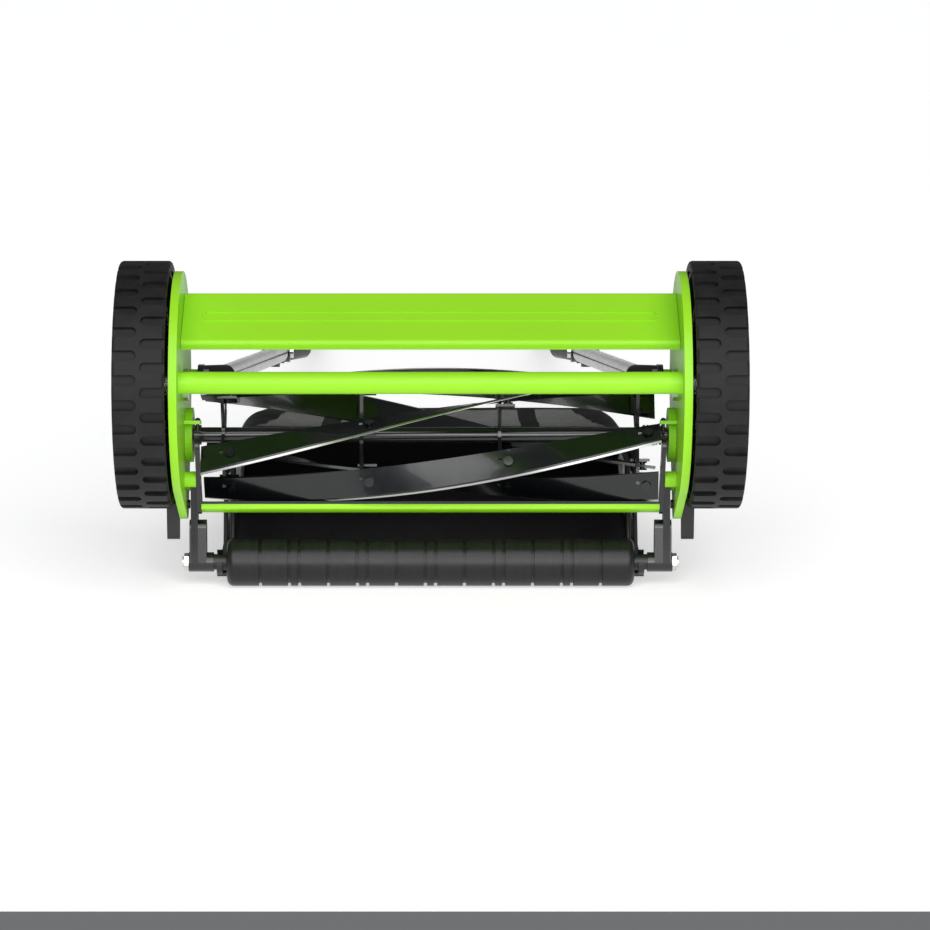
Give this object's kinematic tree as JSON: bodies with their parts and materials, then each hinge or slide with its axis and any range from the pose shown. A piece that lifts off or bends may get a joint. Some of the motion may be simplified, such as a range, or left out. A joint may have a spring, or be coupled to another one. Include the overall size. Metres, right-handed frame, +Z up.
{
  "type": "reel mower",
  "caption": "Push reel mower laid back on its ribbed roller and folding handle, with helical blades geared to rubber-tyred wheels, a bed knife and a fabric grass catcher behind.",
  "frame": {"origin": "centre of the footprint on the ground, with the mower laid back on its roller and handle grip", "axes": "+X to the right seen from the front, +Y from the wheels towards the handle grip, +Z up; the working attitude is reached by turning the mower +53.5 degrees about X"},
  "size_m": [0.54, 1.1944, 0.2926],
  "materials": {
    "green_paint": "glossy lime green powder coat",
    "black_paint": "gloss black enamel",
    "blade_paint": "black painted blades with ground bright edges",
    "steel": "ground steel",
    "zinc": "bright zinc plate",
    "black_plastic": "moulded black plastic",
    "tyre": "moulded rubber",
    "bronze": "sintered bronze",
    "foam": "closed-cell foam",
    "fabric": "black woven polyester with mesh"
  },
  "bodies": {
    "frame": {"side_plate_right": "green_paint", "side_plate_left": "green_paint", "axle_right": "zinc", "axle_left": "zinc", "axle_spacers": "zinc", "axle_clips": "zinc", "reel_bearing_right": "bronze", "reel_bearing_left": "bronze", "tie_tube": "green_paint", "front_cover": "green_paint", "frame_bolts": "zinc", "bolt_spacers": "zinc", "handle_nuts": "zinc", "adjuster_lugs": "green_paint", "adjuster_screws": "steel", "lever_springs": "steel", "handle_tube_right": "black_paint", "handle_tube_left": "black_paint", "fold_bolts": "zinc"},
    "reel": {"reel_shaft": "blade_paint", "reel_blades": "blade_paint", "reel_spiders": "blade_paint", "reel_rivets": "blade_paint", "reel_spring": "steel", "shaft_collar": "blade_paint", "pinion_right": "steel", "pinion_left": "steel", "pinion_clips": "zinc"},
    "bed_knife_set": {"bed_knife": "steel", "knife_carrier": "green_paint", "knife_rivets": "green_paint", "knife_arm_right": "black_paint", "knife_arm_left": "black_paint"},
    "height_frame": {"bracket_right": "black_plastic", "bracket_left": "black_plastic", "roller_shaft": "zinc", "roller_collars": "black_plastic", "roller_nuts": "zinc"},
    "roller": {"roller": "black_plastic"},
    "handle_upper": {"handle_bow": "black_paint", "handle_grip": "foam"},
    "catcher": {"catcher_floor": "black_plastic", "catcher_bag": "fabric", "catcher_wire": "zinc", "catcher_hooks": "black_plastic"},
    "wheel_right": {"wheel_right": "black_plastic", "tyre_right": "tyre", "ring_gear_right": "black_plastic", "wheel_bush_right": "bronze", "hub_cap_right": "black_plastic"},
    "lever_right": {"height_lever_right": "black_plastic"},
    "knob_right": {"fold_knob_right": "black_plastic"},
    "wheel_left": {"wheel_left": "black_plastic", "tyre_left": "tyre", "ring_gear_left": "black_plastic", "wheel_bush_left": "bronze", "hub_cap_left": "black_plastic"},
    "lever_left": {"height_lever_left": "black_plastic"},
    "knob_left": {"fold_knob_left": "black_plastic"}
  },
  "joints": [
    {"name": "reel_spin", "type": "hinge", "parent": "frame", "child": "reel", "pos_m": [0, -0.46498, 0.1341], "axis": [1, 0, 0], "continuous": true},
    {"name": "wheel_right_spin", "type": "hinge", "parent": "frame", "child": "wheel_right", "pos_m": [0, -0.48925, 0.18457], "axis": [1, 0, 0], "continuous": true},
    {"name": "wheel_left_spin", "type": "hinge", "parent": "frame", "child": "wheel_left", "pos_m": [0, -0.48925, 0.18457], "axis": [1, 0, 0], "continuous": true},
    {"name": "bed_knife_adjust", "type": "hinge", "parent": "frame", "child": "bed_knife_set", "pos_m": [0, -0.49461, 0.101], "axis": [1, 0, 0], "range_deg": [-1.5, 0.4]},
    {"name": "cut_height", "type": "hinge", "parent": "frame", "child": "height_frame", "pos_m": [0, -0.46748, 0.09122], "axis": [1, 0, 0], "range_deg": [-15, 3]},
    {"name": "roller_spin", "type": "hinge", "parent": "height_frame", "child": "roller", "pos_m": [0, -0.47639, 0.0212], "axis": [1, 0, 0], "continuous": true},
    {"name": "lever_right_turn", "type": "hinge", "parent": "frame", "child": "lever_right", "pos_m": [0, -0.46202, 0.07039], "axis": [1, 0, 0], "range_deg": [0, 25], "stiffness_Nm_per_rad": 0.2},
    {"name": "lever_left_turn", "type": "hinge", "parent": "frame", "child": "lever_left", "pos_m": [0, -0.46202, 0.07039], "axis": [1, 0, 0], "range_deg": [0, 25], "stiffness_Nm_per_rad": 0.2},
    {"name": "handle_fold", "type": "hinge", "parent": "frame", "child": "handle_upper", "pos_m": [0, 0.08856, 0.0942], "axis": [1, 0, 0], "range_deg": [0, 160]},
    {"name": "knob_right_turn", "type": "hinge", "parent": "frame", "child": "knob_right", "pos_m": [0.155, 0.08856, 0.0942], "axis": [1, 0, 0], "range_deg": [-720, 0]},
    {"name": "knob_left_turn", "type": "hinge", "parent": "frame", "child": "knob_left", "pos_m": [-0.155, 0.08856, 0.0942], "axis": [1, 0, 0], "range_deg": [0, 720]},
    {"name": "catcher_swing", "type": "hinge", "parent": "height_frame", "child": "catcher", "pos_m": [0, -0.47639, 0.0212], "axis": [1, 0, 0], "range_deg": [-50, 2]}
  ],
  "couplings": [
    {"joint": "wheel_right_spin", "follows": "reel_spin", "ratio": 0.17647},
    {"joint": "wheel_left_spin", "follows": "reel_spin", "ratio": 0.17647}
  ]
}
